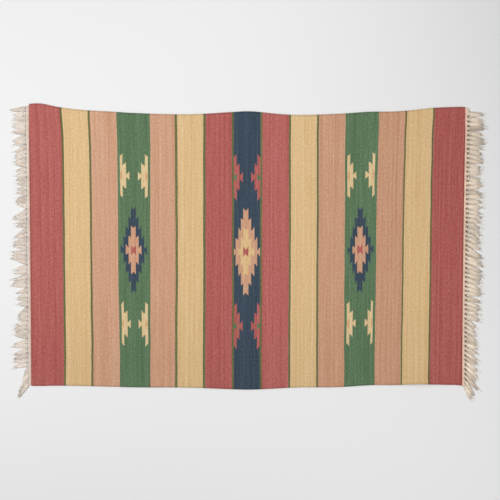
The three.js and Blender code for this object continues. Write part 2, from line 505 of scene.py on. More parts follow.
@dataclass(frozen=True)
class TwistedCotton:
    """Undyed cotton warp yarn of three plies, twisted.

    The eye gets a soft cream strand with a fine spiral of grooves, darkened by painted shade, and a little
    fluff on top.
    """

    name: str
    dye: Dye = Dye.UNDYED_COTTON
    bled: Dye = Dye.BLED_COTTON  # where the red of the cloth has run into it
    roughness: float = 0.9
    sheen: float = 0.2
    plies: int = 3
    groove: float = 0.12  # how much painted shade darkens the grooves between the plies
    fluff: float = 2.2  # coarseness of the fibre's mottle
    mottle: float = 0.2  # how much lighter its lightest spots are than its darkest
    ply_height: float = 0.5  # how high a ply is beside the fluff
    relief: float = 0.3
    relief_strength: float = 0.5

    def material(self) -> Material:
        """Builds the yarn's material, and returns it."""
        material, tree, shader = new_material(self.name, dry_fibre(self.roughness, self.sheen))
        yarn = add(tree, "UVMap", uv_map="yarn")
        parts = add(tree, "SeparateXYZ", {0: yarn})
        turn = add(tree, "Math", {0: parts.outputs["Y"], 1: 2 * self.plies * math.pi}, operation="MULTIPLY")
        ply = add(tree, "Math", {0: turn}, operation="COSINE")
        names = ("tone", "stain", "soil")
        tone, stain, soil = (add(tree, "Attribute", attribute_name=name).outputs["Fac"] for name in names)
        place = add(tree, "TexCoord").outputs["Object"]
        feeds = {"Vector": place, "Scale": 1 / (self.fluff * MM), "Detail": 2.0}
        spots = add(tree, "TexNoise", feeds).outputs["Fac"]
        # Painted shade in the grooves between the plies.
        groove_shaded = add(tree, "Math", {0: ply, 1: self.groove / 2, 2: 1.0}, operation="MULTIPLY_ADD")
        feeds = {0: spots, 1: self.mottle, 2: 1 - self.mottle / 2}
        spotted = add(tree, "Math", feeds, operation="MULTIPLY_ADD")
        shade = add(tree, "Math", {0: groove_shaded, 1: spotted}, operation="MULTIPLY")
        shade = add(tree, "Math", {0: shade, 1: tone}, operation="MULTIPLY")
        colour = linear(self.dye.value)
        # Mixes in the bled red, then the brown of the dust and of the painted shade in the fringe's gaps.
        for share, dye in ((stain, self.bled), (soil, Dye.DUST_AND_SHADE_BROWN)):
            colour = add(tree, "Mix", {0: share, "A": colour, "B": linear(dye.value)}, data_type="RGBA")
        tinted = add(tree, "VectorMath", {0: colour, "Scale": shade}, operation="SCALE")
        tree.links.new(tinted.outputs[0], shader.inputs["Base Color"])
        height = add(tree, "Math", {0: ply, 1: self.ply_height, 2: spots}, operation="MULTIPLY_ADD")
        feeds = {"Height": height, "Strength": self.relief_strength, "Distance": self.relief * MM}
        bump = add(tree, "Bump", feeds)
        tree.links.new(bump.outputs[0], shader.inputs["Normal"])
        return material


@dataclass(frozen=True)
class MattFloor:
    """A pale painted floor. The eye gets an even, matt grey near white."""

    colour: str = "#E6E6E6"

    def material(self) -> Material:
        """Builds the floor's material, and returns it."""
        surface = {"Base Color": linear(self.colour), "Roughness": 1.0, "Specular IOR Level": 0.0}
        material, _, _ = new_material("matt_paint", surface)
        return material


# ---- How the rug lies ----


def smooth(share: np.ndarray) -> np.ndarray:
    """Eases a run from 0 to 1 in and out."""
    return share * share * (3 - 2 * share)


def linked(name: str, data: ID) -> Object:
    """Makes an object of a mesh, a light or a camera, and links it to the scene."""
    made = bpy.data.objects.new(name, data)
    bpy.context.scene.collection.objects.link(made)
    return made


@dataclass(frozen=True)
class SoftFold:
    """A long low rise of the cloth, which fades out to all sides."""

    x: float
    y: float
    turn: float  # of its length from the X axis, in degrees
    length: float
    width: float
    rise: float


@dataclass
class Lay:
    """How the rug lies on the floor: its outline, and how far each place is lifted."""

    node: str = "woven_cloth"
    middle_off: tuple[float, float] = (-1.08, -11.28)  # of the weave, from the middle of the cloth's box
    rest: float = 0.5
    folds: tuple[SoftFold, ...] = (
        SoftFold(-170, -338, 2, 330, 26, 1.6),
        SoftFold(420, -372, -6, 150, 34, 1.4),
        SoftFold(-560, -300, 74, 120, 40, 1.3),
        SoftFold(470, 90, 58, 200, 34, 1.5),
        SoftFold(285, 20, 64, 130, 30, 1.1),
        SoftFold(-95, -20, 20, 90, 60, 1.2),
        SoftFold(620, 330, 70, 120, 46, 1.6),
        SoftFold(-640, 360, -66, 150, 44, 1.8),
        SoftFold(-330, 210, 12, 160, 50, 0.9),
        SoftFold(120, 330, -10, 200, 44, 1.0),
        SoftFold(-20, -425, 3, 380, 20, 1.0),
        SoftFold(560, -444, 0, 42, 22, 9.0),
    )
    corner: float = 9.0  # how far the rounding of the corners reaches
    squareness: float = 0.7  # how far the corners are moved out towards a right angle
    waves: int = 9
    wave_height: float = 0.22
    wave_length: tuple[float, float] = (150.0, 420.0)  # of the shortest and of the longest
    middle: np.ndarray = field(init=False)
    pace: np.ndarray = field(init=False)  # of each wave along the warp and across it, in radians a millimetre
    phase: np.ndarray = field(init=False)

    def __post_init__(self) -> None:
        """Reads where the weave's middle is, and settles the waves."""
        low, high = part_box(self.node)
        box_middle = np.array([(low.x + high.x) / 2, (low.y + high.y) / 2]) / MM
        self.middle = box_middle + np.array(self.middle_off)
        draw = np.random.default_rng(SEED)
        turn = draw.uniform(0, math.pi, self.waves)
        pace = 2 * math.pi / draw.uniform(*self.wave_length, self.waves)
        self.pace = np.stack([np.cos(turn) * pace, np.sin(turn) * pace])
        self.phase = draw.uniform(0, 2 * math.pi, self.waves)

    def lift(self, x: np.ndarray, y: np.ndarray) -> np.ndarray:
        """Gives how far the cloth's underside is lifted.

        Args:
            x: Places along the warp, from the weave's middle.
            y: Places across it.

        Returns:
            The height over the floor at each place.
        """
        angle = np.multiply.outer(x, self.pace[0]) + np.multiply.outer(y, self.pace[1]) + self.phase
        height = self.rest + self.wave_height * (1 + np.sin(angle).mean(axis=-1))
        for fold in self.folds:
            turn = math.radians(fold.turn)
            on = (x - fold.x) * math.cos(turn) + (y - fold.y) * math.sin(turn)
            off = (y - fold.y) * math.cos(turn) - (x - fold.x) * math.sin(turn)
            height = height + fold.rise * np.exp(-((on / fold.length) ** 2) - (off / fold.width) ** 2)
        return height

    def sides(self, inset: float) -> dict[str, np.ndarray]:
        """Reads the cloth's outline and splits it into its four sides.

        Args:
            inset: How far the sides are moved in.

        Returns:
            For each side its points, from left to right or from bottom to top, about the weave's middle.
        """
        points = np.array([v.co[:2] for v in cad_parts[self.node].data.vertices]) / MM - self.middle
        points = np.unique(points.round(3), axis=0)
        points = points[np.argsort(np.arctan2(points[:, 1], points[:, 0]))]
        corners = [int(np.argmax(points @ np.array(way))) for way in ((-1, -1), (1, -1), (1, 1), (-1, 1))]
        found = {}
        runs = (("bottom", 0, -1), ("right", 1, 1), ("top", 0, 1), ("left", 1, -1))
        for i, (name, axis, sign) in enumerate(runs):
            length = (corners[(i + 1) % 4] - corners[i]) % len(points) + 1
            side = np.roll(points, -corners[i], axis=0)[:length]
            side = side[np.argsort(side[:, axis], kind="stable")]
            side = self.sharper(side, axis)
            side[:, 1 - axis] -= sign * inset
            found[name] = side
        for across, end in (("bottom", 0), ("top", -1)):
            for along, start in (("left", 0), ("right", -1)):
                met = np.array([found[along][end, 0], found[across][start, 1]])
                found[along][end] = met
                found[across][start] = met
        return found

    def sharper(self, side: np.ndarray, axis: int) -> np.ndarray:
        """Runs a side on nearly straight to where it meets its neighbours.

        Args:
            side: The side's points in order.
            axis: The axis that the side runs along.

        Returns:
            The side without the points of its rounded ends, and with its two corners moved out.
        """
        kept = side.copy()
        for end in (0, -1):
            onward = side if end == 0 else side[::-1]
            away = np.linalg.norm(onward - side[end], axis=1)
            near = onward[np.argmax(away > self.corner)]
            kept[end, 1 - axis] += (near[1 - axis] - side[end, 1 - axis]) * self.squareness
        far = np.minimum(*(np.linalg.norm(side - side[end], axis=1) for end in (0, -1)))
        return kept[(far > self.corner) | (far == 0)]


@dataclass
class WovenCloth:
    """The cloth, woven in one piece: its ribs on both faces, its rounded selvedges and its pattern."""

    lay: Lay
    finish: WeftFacedWeave
    node: str = "woven_cloth"
    thickness: float = 3.0
    rib: float = 0.16  # how far a rib rises over the middle height of the face
    pressed: float = 0.5  # how high the ribs are on the underside, as a share of that
    rim: float = 1.5  # how far the rounded edge reaches past the flat face
    rim_turns: tuple[float, ...] = (45, 90, 135)  # where the rim's rings lie on its rounding, in degrees
    end_steps: tuple[float, ...] = (0, 3, 6, 10, 15, 22)  # columns that round the corners
    columns: int = 84
    # How far the wefts are pulled out at the left and right of the top selvedge, then of the bottom one.
    pulls: tuple[tuple[float, float], ...] = ((7.0, 4.6), (1.5, -1.2))
    pull_reach: float = 62.0  # how far from the selvedge it is felt
    pulled_at: float = 600.0  # how far along the warp from the rug's middle it is measured
    straight: float = 0.15  # the share of the half width, from the middle, in which no weft strays
    straying: float = 0.7  # the share of it over which the wefts then stray more and more
    # How far the wefts stray towards either selvedge. Each row: their place along the warp, and the way in
    # millimetres near the top selvedge and near the bottom one.
    strays: tuple[tuple[float, float, float], ...] = (
        (-702.0, 0.0, 0.0),
        (-596.0, -1.0, 1.5),
        (-506.0, -1.6, 2.0),
        (-417.0, -1.5, 4.2),
        (-315.0, 1.5, -1.0),
        (-229.0, -1.4, -2.4),
        (-139.0, 0.4, -1.6),
        (-46.0, -1.8, -0.6),
        (46.0, 0.0, -0.6),
        (139.0, -2.0, -1.3),
        (229.0, -1.8, 0.0),
        (317.0, -0.8, 0.5),
        (345.0, -2.8, 0.3),
        (395.0, -3.4, -3.2),
        (419.0, 3.4, -2.8),
        (506.0, 3.0, -2.4),
        (596.0, 0.8, -2.2),
        (702.0, 0.0, 0.0),
    )
    flat_size: tuple[float, float] = (0.893, 1.405)  # metres, as it came from the loom

    def build(self) -> Object:
        """Makes the cloth's mesh, dresses it and seats it in the frame.

        Returns:
            The cloth.
        """
        s, t = self.grid()
        x, y = self.placed(s, t)
        low = self.lay.lift(x, y)
        ribs = self.rib * np.where(np.arange(s.shape[0]) % 2, 1.0, -1.0)[:, None] * np.ones_like(s)
        upper = np.stack([x, y, low + self.thickness + ribs], axis=-1)
        under = np.stack([x, y, low - ribs * self.pressed], axis=-1)
        piece = self.closed(upper, under, np.stack([s - self.drift(s, t), t], axis=-1))
        piece.data.materials.append(self.finish.material())
        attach(piece, "root")
        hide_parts(self.node)
        return piece

    def grid(self) -> tuple[np.ndarray, np.ndarray]:
        """Gives the woven places of the mesh's points: columns along the warp, and two rows for each rib."""
        half = self.finish.half_length
        ends = np.array(self.end_steps, float)
        inner = np.linspace(-half + ends[-1], half - ends[-1], self.columns)
        along = np.concatenate([-half + ends[:-1], inner, half - ends[:-1][::-1]])
        half = self.finish.half_width
        ribs = round(2 * half / self.finish.warp_pitch)
        across = np.linspace(-half, half, 2 * ribs + 1)
        return np.meshgrid(along, across)

    def drift(self, s: np.ndarray, t: np.ndarray) -> np.ndarray:
        """Gives how far the wefts near both selvedges are pulled away from the rug's middle.

        Args:
            s: Woven places along the warp.
            t: Woven places across it.

        Returns:
            The way along the warp, with its sign.
        """
        top, low = (np.where(s < 0, left, right) for left, right in self.pulls)
        half = self.finish.half_width
        near_top = top * np.exp(-(((half - t) / self.pull_reach) ** 2))
        near_low = low * np.exp(-(((half + t) / self.pull_reach) ** 2))
        pulled = (near_top + near_low) * s * np.abs(s) / self.pulled_at**2
        places, high, deep = np.array(self.strays).T
        share = np.clip((np.abs(t) / half - self.straight) / self.straying, 0, 1)
        strayed = np.where(t > 0, np.interp(s, places, high), np.interp(s, places, deep))
        return pulled + smooth(share) * strayed

    def placed(self, s: np.ndarray, t: np.ndarray) -> tuple[np.ndarray, np.ndarray]:
        """Lays the woven rectangle out between its four sides.

        Args:
            s: Woven places along the warp.
            t: Woven places across it.

        Returns:
            Where each place lies along X and along Y, from the weave's middle.
        """
        sides = self.lay.sides(self.rim)
        u = (s / self.finish.half_length + 1) / 2
        v = (t / self.finish.half_width + 1) / 2
        ways = {}
        for name, axis, share in (("bottom", 0, u), ("top", 0, u), ("left", 1, v), ("right", 1, v)):
            side = sides[name]
            run = side[0, axis] + share * (side[-1, axis] - side[0, axis])
            other = np.interp(run, side[:, axis], side[:, 1 - axis])
            ways[name] = (run, other) if axis == 0 else (other, run)
        corners = [sides[name][end] for name in ("bottom", "top") for end in (0, -1)]
        laid = []
        for k in (0, 1):
            edges = (1 - v) * ways["bottom"][k] + v * ways["top"][k]
            edges = edges + (1 - u) * ways["left"][k] + u * ways["right"][k]
            flat = (1 - v) * ((1 - u) * corners[0][k] + u * corners[1][k])
            flat = flat + v * ((1 - u) * corners[2][k] + u * corners[3][k])
            laid.append(edges - flat)
        return laid[0], laid[1]

    def closed(self, upper: np.ndarray, under: np.ndarray, woven: np.ndarray) -> Object:
        """Joins the two faces with a rounded rim into one closed mesh.

        Args:
            upper: Points of the upper face, by row and column.
            under: Points of the underside.
            woven: The woven place of each point.

        Returns:
            The mesh's object.
        """
        rows, columns = woven.shape[:2]
        index = np.arange(rows * columns).reshape(rows, columns)
        loop = np.concatenate([index[0, :-1], index[:-1, -1], index[-1, :0:-1], index[:0:-1, 0]])
        top, low, flat = upper.reshape(-1, 3), under.reshape(-1, 3), woven.reshape(-1, 2)
        edge = top[loop]
        ahead = np.roll(edge, -1, axis=0) - np.roll(edge, 1, axis=0)
        out = np.stack([ahead[:, 1], -ahead[:, 0]], axis=1)
        out /= np.linalg.norm(out, axis=1, keepdims=True)
        points, places = [top, low], [flat, flat]
        rings = [loop]
        mean = (top[loop] + low[loop]) / 2
        half = (top[loop, 2] - low[loop, 2]) / 2
        for k, angle in enumerate(self.rim_turns):
            turn = math.radians(angle)
            ring = mean.copy()
            ring[:, :2] += out * self.rim * math.sin(turn)
            ring[:, 2] += half * math.cos(turn)
            rings.append(np.arange(len(loop)) + 2 * len(top) + k * len(loop))
            points.append(ring)
            past = self.thickness * (1 - abs(k - 1) / 2)  # the weave runs on around the rim
            places.append(flat[loop] + out * past)
        rings.append(loop + len(top))
        face = np.stack([index[:-1, :-1], index[:-1, 1:], index[1:, 1:], index[1:, :-1]], axis=-1)
        face = face.reshape(-1, 4)
        quads = [face, face[:, ::-1] + len(top)]
        for inner, outer in zip(rings[:-1], rings[1:]):
            strip = [inner, outer, np.roll(outer, -1), np.roll(inner, -1)]
            quads.append(np.stack(strip, axis=-1))
        points = np.concatenate(points)
        points[:, :2] += self.lay.middle
        mesh = bpy.data.meshes.new("kilim_cloth")
        mesh.from_pydata((points * MM).tolist(), [], np.concatenate(quads).tolist())
        mesh.polygons.foreach_set("use_smooth", np.ones(len(mesh.polygons), bool))
        mark = mesh.attributes.new("woven", "FLOAT_VECTOR", "POINT")
        places = np.concatenate(places)
        mark.data.foreach_set("vector", np.c_[places, np.zeros(len(places))].astype(np.float32).ravel())
        self.unfold(mesh, [len(q) for q in quads], rings, points)
        return linked("kilim_cloth", mesh)

    def unfold(
        self, mesh: Mesh, counts: list[int], rings: list[np.ndarray], points: np.ndarray
    ) -> None:
        """Gives the mesh a flat map: the upper face with its rim, and the underside beside it at half size.

        Args:
            mesh: The cloth's mesh.
            counts: How many faces the upper face, the underside and each strip of the rim have.
            rings: The points of the rim, ring by ring, from the upper face to the underside.
            points: Every point of the mesh.
        """
        margin = 12  # millimetres left free around the cloth
        gap = 0.004  # of the map's height, between its edge and a face
        strip = 2.4  # millimetres of the map for each strip of the rim
        low, high = points[:, :2].min(0), points[:, :2].max(0)
        centre, span = (low + high) / 2, (high - low).max() + 2 * margin
        flat = (points[:, :2] - centre) / span
        corners = np.zeros(len(mesh.loops), np.int32)
        mesh.loops.foreach_get("vertex_index", corners)
        starts = 4 * np.cumsum([0, *counts])
        half_height = (high - low)[1] / span / 2 + margin / span
        upper_at = np.array([0.5, half_height + gap])
        under_at = np.array([0.5, 1 - half_height / 2 - gap])
        uv = np.zeros((len(corners), 2))
        uv[starts[0] : starts[1]] = flat[corners[starts[0] : starts[1]]] + upper_at
        uv[starts[1] : starts[2]] = flat[corners[starts[1] : starts[2]]] * 0.5 + under_at
        outward = points[rings[2], :2] - points[rings[0], :2]
        outward /= np.linalg.norm(outward, axis=1, keepdims=True)
        spread = np.zeros((len(rings), len(points), 2))
        for k, ring in enumerate(rings):
            spread[k, ring] = flat[rings[0]] + outward * (k * strip / span)
        for k in range(len(rings) - 1):
            at = slice(starts[k + 2], starts[k + 3])
            quads = corners[at].reshape(-1, 4)
            inner = spread[k, quads[:, [0, 3]]]
            outer = spread[k + 1, quads[:, [1, 2]]]
            laid = np.stack([inner[:, 0], outer[:, 0], outer[:, 1], inner[:, 1]], axis=1)
            uv[at] = laid.reshape(-1, 2) + upper_at
        layer = mesh.uv_layers.new(name="OFBake")
        layer.data.foreach_set("uv", uv.astype(np.float32).ravel())


# ---- Fringes ----


@dataclass
class YarnMesh:
    """Collects yarns as closed tubes of three plies, and turns them into one mesh."""

    middle: np.ndarray  # where the middle of the weave is
    sides: int = 6
    groove: float = 0.92  # how deep the plies' grooves are, as a share of the yarn's radius
    twist: float = 0.42  # radians a millimetre; a real ply turns twice as fast, too fine for the mesh
    upright: float = 0.9  # how much of a yarn's first way may point up before its sides are taken from Y
    room_shape: float = 14.0  # how many times wider than high a yarn's room in the map is
    room_margin: float = 0.03  # the share of its room that a yarn leaves free on each side
    points: list[np.ndarray] = field(default_factory=list)
    faces: list[list[int]] = field(default_factory=list)
    yarn: list[np.ndarray] = field(default_factory=list)
    marks: dict[str, list[np.ndarray]] = field(default_factory=lambda: {"tone": [], "stain": [], "soil": []})
    tubes: list[int] = field(default_factory=list)
    count: int = 0

    def add(
        self, path: np.ndarray, radii: np.ndarray, tone: float, stain: Any = 0.0, soil: Any = 0.0
    ) -> None:
        """Adds one yarn.

        Args:
            path: Points of its middle line.
            radii: Its radius at each point.
            tone: How light it is, about 1.
            stain: How much dye has bled into it, from 0 to 1, at each point or all along.
            soil: How much dust it holds and how much painted shade darkens it, in the same way.
        """
        ahead = np.gradient(path, axis=0)
        ahead /= np.linalg.norm(ahead, axis=1, keepdims=True)
        run = np.concatenate([[0.0], np.cumsum(np.linalg.norm(np.diff(path, axis=0), axis=1))])
        side = np.zeros_like(path)
        carried = np.array([0.0, 0.0, 1.0])
        if abs(ahead[0, 2]) > self.upright:
            carried = np.array([0.0, 1.0, 0.0])
        for i, way in enumerate(ahead):
            carried = carried - way * (carried @ way)
            carried = carried / np.linalg.norm(carried)
            side[i] = carried
        other = np.cross(ahead, side)
        angle = 2 * math.pi * np.arange(self.sides) / self.sides + (run * self.twist)[:, None]
        lobe = np.where(np.arange(self.sides) % 2, self.groove, 1.0) * radii[:, None]
        ring = (np.cos(angle) * lobe)[..., None] * side[:, None]
        ring = ring + (np.sin(angle) * lobe)[..., None] * other[:, None]
        self.points.append((path[:, None] + ring).reshape(-1, 3))
        turns = np.arange(self.sides)
        after = (turns + 1) % self.sides
        quads = []
        for i in range(len(path) - 1):
            here = self.count + i * self.sides
            there = here + self.sides
            quads.append(np.stack([here + turns, there + turns, there + after, here + after], axis=1))
        laid = np.zeros((len(path) - 1, self.sides, 4, 2))
        laid[..., 0] = np.stack([run[:-1], run[1:], run[1:], run[:-1]], axis=-1)[:, None]
        laid[..., 1] = (np.stack([turns, turns, turns + 1, turns + 1], axis=-1) / self.sides)[None]
        self.faces.extend(np.concatenate(quads).tolist())
        self.yarn.append(laid.reshape(-1, 2))
        last = self.count + (len(path) - 1) * self.sides
        self.faces.append((self.count + turns).tolist())
        self.faces.append((last + turns[::-1]).tolist())
        caps = np.stack([np.zeros(self.sides), turns / self.sides], axis=1)
        self.yarn.append(caps)
        self.yarn.append(caps[::-1] + np.array([run[-1], 0.0]))
        for values, value in zip(self.marks.values(), (tone, stain, soil)):
            values.append(np.repeat(np.ones(len(path)) * value, self.sides))
        self.tubes.append(4 * self.sides * (len(path) - 1) + 2 * self.sides)
        self.count += len(path) * self.sides

    def build(self, name: str) -> Object:
        """Makes the mesh with its yarn map, its tones and a map that has room for every tube.

        Args:
            name: The new object's name.

        Returns:
            The object.
        """
        mesh = bpy.data.meshes.new(name)
        points = np.concatenate(self.points)
        points[:, :2] += self.middle
        mesh.from_pydata((points * MM).tolist(), [], self.faces)
        mesh.polygons.foreach_set("use_smooth", [len(face) == 4 for face in self.faces])
        for kind, values in self.marks.items():
            mark = mesh.attributes.new(kind, "FLOAT", "POINT")
            mark.data.foreach_set("value", np.concatenate(values).astype(np.float32))
        yarn = np.concatenate(self.yarn)
        mesh.uv_layers.new(name="yarn").data.foreach_set("uv", yarn.astype(np.float32).ravel())
        longest = max(yarn[:, 0])
        across = max(1, round(math.sqrt(len(self.tubes) / self.room_shape)))
        down = math.ceil(len(self.tubes) / across)
        cell = np.array([1 / across, 1 / down])
        corner = np.array([[(i // down) * cell[0], (i % down) * cell[1]] for i in range(len(self.tubes))])
        base = np.repeat(corner, self.tubes, axis=0)
        filled = 1 - 2 * self.room_margin
        baked = base + (self.room_margin + filled * yarn / np.array([longest, 1.0])) * cell
        mesh.uv_layers.new(name="OFBake").data.foreach_set("uv", baked.astype(np.float32).ravel())
        return linked(mesh.name, mesh)


class Side(Enum):
    """The two ends of the rug, by the way that their fringe points."""

    LEFT = -1
    RIGHT = 1


@dataclass(frozen=True)
class Bunch:
    """Neighbouring tassels that lie together, between an upper and a lower one.

    Roots and tips are heights across the rug, and reaches are distances of the tips from its middle line.
    """

    root_top: float
    root_low: float
    tip_top: float
    tip_low: float
    reach_top: float
    reach_low: float


LEFT_BUNCHES = (
    Bunch(467, 450.8, 462, 451, 769, 764),
    Bunch(450.8, 376, 444, 378, 756, 763),
    Bunch(376, 342, 358, 337.5, 758, 757),
    Bunch(342, 272, 321, 272.5, 751, 751),
    Bunch(272, 175, 266, 172, 749, 747),
    Bunch(175, 137, 165, 149, 746, 745),
    Bunch(137, 78, 110, 78, 758, 747),
    Bunch(78, 45, 46, 36, 754, 753),
    Bunch(45, 3, 32, 10, 752, 761),
    Bunch(3, -42, -3, -29, 757, 767),
    Bunch(-42, -79, -58, -81, 755, 755),
    Bunch(-79, -126, -97, -123, 760, 760),
    Bunch(-126, -180, -139, -175, 747, 742),
    Bunch(-180, -220, -207.5, -227, 741, 741),
    Bunch(-220, -282, -230, -279, 750, 751),
    Bunch(-282, -316, -298, -318, 756, 757),
    Bunch(-316, -380, -331, -386, 755, 757),
    Bunch(-380, -441, -428, -488, 724, 742),
)
RIGHT_BUNCHES = (
    Bunch(448, 387, 445, 380, 771, 769),
    Bunch(387, 330, 381, 322, 769, 764),
    Bunch(330, 268, 318, 258, 763, 761),
    Bunch(268, 190, 266, 189, 761, 760),
    Bunch(190, 95, 188, 86, 760, 758),
    Bunch(95, 20, 80, -5, 757, 757),
    Bunch(20, -90, -8, -108, 760, 763),
    Bunch(-90, -150, -106, -163, 757, 756),
    Bunch(-150, -215, -165, -229, 756, 751),
    Bunch(-215, -283, -240, -306, 744, 741),
    Bunch(-283, -345, -305, -367, 747, 744),
    Bunch(-345, -372, -369, -404, 747, 751),
    Bunch(-372, -401, -408, -438, 743, 742),
    Bunch(-401, -444, -452, -499, 752, 720),
)


@dataclass
class KnottedFringe:
    """The bare warp past the last weft at one end, knotted in groups of four and left to fall open."""

    side: Side
    node: str
    name: str
    lay: Lay
    cloth: WovenCloth
    finish: TwistedCotton
    bunches: tuple[Bunch, ...]
    highest: float
    lowest: float
    gather: float = 0.3  # half the width of a tassel's tip, as a share of its room
    closed: float = 1.2  # half the width of a tip that has no room
    tassels: int = 60
    warps: int = 4
    corner_warps: bool = False  # whether the first knot also takes the warps of the cloth's turned corner
    # The strands of a tassel from the floor up: how many, and how wide they lie, as a share of its fullness.
    layers: tuple[tuple[int, float], ...] = ((8, 1.12), (6, 0.7))
    lower_radius: float = 1.6  # of the warps of the lower shed, which the knots hide
    lower_height: float = 1.4
    lower_reach: tuple[float, ...] = (0.5, 3.0, 6.0, 9.5)  # where their points lie, from the last weft
    hairs: int = 5
    swing: float = 1.0  # how far a tassel's tip strays each way
    knot_stray: tuple[float, float] = (1.1, 0.5)  # how far its knot strays, outwards and along the edge
    side_stray: tuple[float, float] = (0.6, 3.0)  # how far its strands' tips stray aside, and its hairs'
    tone_stray: tuple[float, ...] = (0.04, 0.02, 0.03)  # in lightness: of tassels, bare warps and strands
    thick_stray: float = 0.08  # in thickness, of strands
    ragged: float = 0.09  # how unequal the strands are, as a share of their length
    rounded: float = 4.0  # how much shorter a strand at a tassel's side is than one in its middle
    warp_radius: float = 1.85
    # How thick a bare warp is at each of its points, and a strand at its last ones, as shares of their radii.
    warp_taper: tuple[float, ...] = (0.6, 1.0, 1.0, 1.0, 0.95, 0.85, 0.75, 0.7)
    strand_taper: tuple[float, ...] = (0.95, 0.85, 0.7, 0.3)
    strand_radius: float = 1.25
    hair_radius: float = 0.35
    hair_reach: tuple[float, float] = (1.0, 14.0)  # how far the hairs reach past the tip
    hair_sections: int = 6
    tucked: float = 1.6  # how far the bare warps reach into the cloth's rim
    heading: float = 5.5
    knot_at: float = 12.5  # from the last weft to the knot's middle
    knot_half: float = 4.8
    knot_height: float = 4.3  # of its middle, over the floor
    knot_rise: float = 2.8  # half the height of its turns
    knot_turns: tuple[float, float] = (0.15, 1.75)  # from where to where its yarn turns around the tassel
    knot_sections: int = 22
    knot_length: float = 2.4  # half of it, along the tassel
    knot_radius: float = 1.45  # of its yarn
    knot_tip: float = 0.8  # the radius of that yarn at its two ends
    knot_floor: float = 1.5  # how low its yarn may lie
    knot_gap_shade: float = 0.5  # how much painted shade darkens the gaps between the knots, from 0 to 1
    knot_gap_shade_reach: float = 6.0  # how far from a knot's middle the painted shade of its gaps reaches
    dust: float = 0.12  # how much dirt the strands hold
    bare: float = 0.96  # how light the bare warps are beside the tassels
    bled_length: float = 7.0  # how far the cloth's red has run along the warps
    waist: float = 4.4  # half the width of a tassel in its knot
    fullness: float = 6.9  # half its width where it is widest
    least: float = 0.76  # the share of its fullness that it keeps at any slant
    # Where its strands bend, as shares of their length, and how far out they lie there, as shares of its
    # fullness.
    bends: tuple[tuple[float, float], ...] = ((0.18, 1.35), (0.62, 0.8))
    bow: tuple[float, float] = (0.8, 0.4)  # how far a tassel bows to one side, and each strand of it besides
    crimp: float = 0.45  # how far a strand still waves from the weave
    crimp_length: float = 2.6  # millimetres in a radian of that wave
    stack: float = 1.7  # how high a layer of strands lies over the one below, in their radii
    sections: int = 12
    draw: np.random.Generator = field(init=False)
    yarns: YarnMesh = field(init=False)

    def build(self) -> Object:
        """Makes every tassel, and joins them into one dressed piece.

        Returns:
            The fringe.
        """
        self.draw = np.random.default_rng(SEED + self.side.value)
        self.yarns = YarnMesh(self.lay.middle)
        edge = self.lay.sides(0.0)[self.side.name.lower()]
        pitch = (self.highest - self.lowest) / self.tassels
        for i in range(self.tassels):
            y = self.highest - (i + 0.5) * pitch
            bunch = next(b for b in self.bunches if b.root_top >= y > b.root_low or b is self.bunches[-1])
            self.tassel(edge, y, pitch, bunch, i == 0 and self.corner_warps)
        piece = self.yarns.build(self.name)
        piece.data.materials.append(self.finish.material())
        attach(piece, "root")
        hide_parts(self.node)
        return piece

    def tassel(self, edge: np.ndarray, y: float, pitch: float, bunch: Bunch, corner: bool) -> None:
        """Makes one tassel: its warps, its knot and its strands.

        Args:
            edge: The line of the last weft.
            y: The height of its root.
            pitch: The distance from one tassel to the next.
            bunch: The bunch that it lies in.
            corner: Whether its knot also takes warps from past its own.
        """
        way = self.side.value
        start = np.interp(y, edge[:, 1], edge[:, 0])
        height = float(self.lay.lift(np.array(start), np.array(y))) + self.cloth.thickness / 2
        share = (bunch.root_top - y) / (bunch.root_top - bunch.root_low)
        tip_y = bunch.tip_top + share * (bunch.tip_low - bunch.tip_top) + self.draw.normal(0, self.swing)
        reach = bunch.reach_top + share * (bunch.reach_low - bunch.reach_top)
        tip_x = way * (reach + self.draw.normal(0, self.swing))
        count = max(1.0, (bunch.root_top - bunch.root_low) / pitch)
        spread = self.closed + self.gather * abs(bunch.tip_top - bunch.tip_low) / count
        tip = np.array([tip_x, tip_y, 1.0])
        lean = (tip_y - y) / abs(tip_x - start)
        led = 0.3  # how much of the tassel's lean the knot has followed
        knot = np.array([start + way * self.knot_at, y + lean * self.knot_at * led, self.knot_height])
        knot[1] += self.draw.normal(0, self.knot_stray[1])
        knot[0] += self.draw.normal(0, self.knot_stray[0])
        tone = 1 + self.draw.normal(0, self.tone_stray[0])
        self.warps_to(knot, start, y, height, pitch, tone, self.knot_gap_shade)
        if corner:
            # The corner's warps come from past the last tassel, lie a little closer, and have no painted
            # shade in their gap.
            self.warps_to(knot, start, y + 0.9 * pitch, height, 0.8 * pitch, tone, 0.0)
        self.overhand(knot, tip, tone)
        self.strands_to(knot, tip, spread, tone)

    def warps_to(
        self, knot: np.ndarray, start: float, y: float, height: float, pitch: float, tone: float, knot_gap_shade: float
    ) -> None:
        """Makes the bare warps that run from the last weft into the knot.

        Args:
            knot: The knot's middle.
            start: The last weft's place.
            y: The height of the tassel's root.
            height: The cloth's middle height there.
            pitch: The distance from one tassel to the next.
            tone: How light the tassel is.
            knot_gap_shade: How much painted shade darkens its gaps.
        """
        way = self.side.value
        for k in range(self.warps):
            off = (k + 0.5) / self.warps - 0.5
            first = np.array([start - way * self.tucked, y + off * pitch, height])
            second = first + np.array([way * (self.tucked + self.heading), 0.0, 0.0])
            inside = self.waist - 1.0  # within the knot's turns
            last = knot + np.array([way * 0.5, off * 2 * inside, 0.0])
            gone = np.linspace(0, 1, 5)
            turned = second + (last - second) * np.stack([gone, smooth(gone), gone], axis=1)
            # Three points of the straight part, and five of the turn into the knot.
            straight = [first, first * 0.7 + second * 0.3, first * 0.35 + second * 0.65]
            path = np.concatenate([straight, turned])
            radii = self.warp_radius * np.array(self.warp_taper)
            out = np.abs(path[:, 0] - start)
            stain = np.clip(1 - out / self.bled_length, 0, 1)
